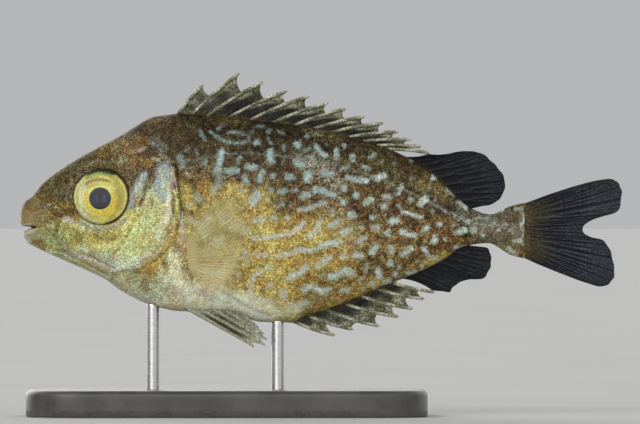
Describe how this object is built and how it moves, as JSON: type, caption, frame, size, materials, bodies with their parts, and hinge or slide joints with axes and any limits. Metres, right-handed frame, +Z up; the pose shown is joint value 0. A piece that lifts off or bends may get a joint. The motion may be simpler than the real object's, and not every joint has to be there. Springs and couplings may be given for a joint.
{
  "type": "streaked spinefoot fish model",
  "caption": "Life-size still model of a young streaked spinefoot swimming with spread spiny fins, held on a flat base with short rods.",
  "frame": {"origin": "centre of the bounding box on the floor, under the stand's base", "axes": "+X runs along the fish from its snout to its tail, -Y is the fish's left side, +Z is up"},
  "size_m": [0.0902, 0.03, 0.0515],
  "materials": {
    "skin": "moist satin skin, granular gold and brown with pale blue-grey spots",
    "jaw": "moist satin skin",
    "gill_cover": "moist silvery gold skin",
    "spiny_fin": "translucent membrane with whitish-olive spines",
    "dark_fin": "thin charcoal membrane with fine rays",
    "clear_fin": "thin clear yellowish membrane with fine rays",
    "pelvic_fin": "pale olive membrane with stout spines",
    "eye": "wet gloss",
    "stand_base": "satin",
    "stand_rod": "brushed"
  },
  "bodies": {
    "root": {"head": "skin", "lower_jaw": "jaw", "gill_cover_left": "gill_cover", "gill_cover_right": "gill_cover", "trunk": "skin", "tail_stem": "skin", "eye_left": "eye", "eye_right": "eye", "dorsal_fin_spines": "spiny_fin", "dorsal_fin_soft": "dark_fin", "anal_fin_spines": "spiny_fin", "anal_fin_soft": "dark_fin", "tail_fin": "dark_fin", "pectoral_fin_left": "clear_fin", "pectoral_fin_right": "clear_fin", "pelvic_fin_left": "pelvic_fin", "pelvic_fin_right": "pelvic_fin", "stand_base": "stand_base", "stand_rod_front": "stand_rod", "stand_rod_rear": "stand_rod"}
  },
  "joints": []
}
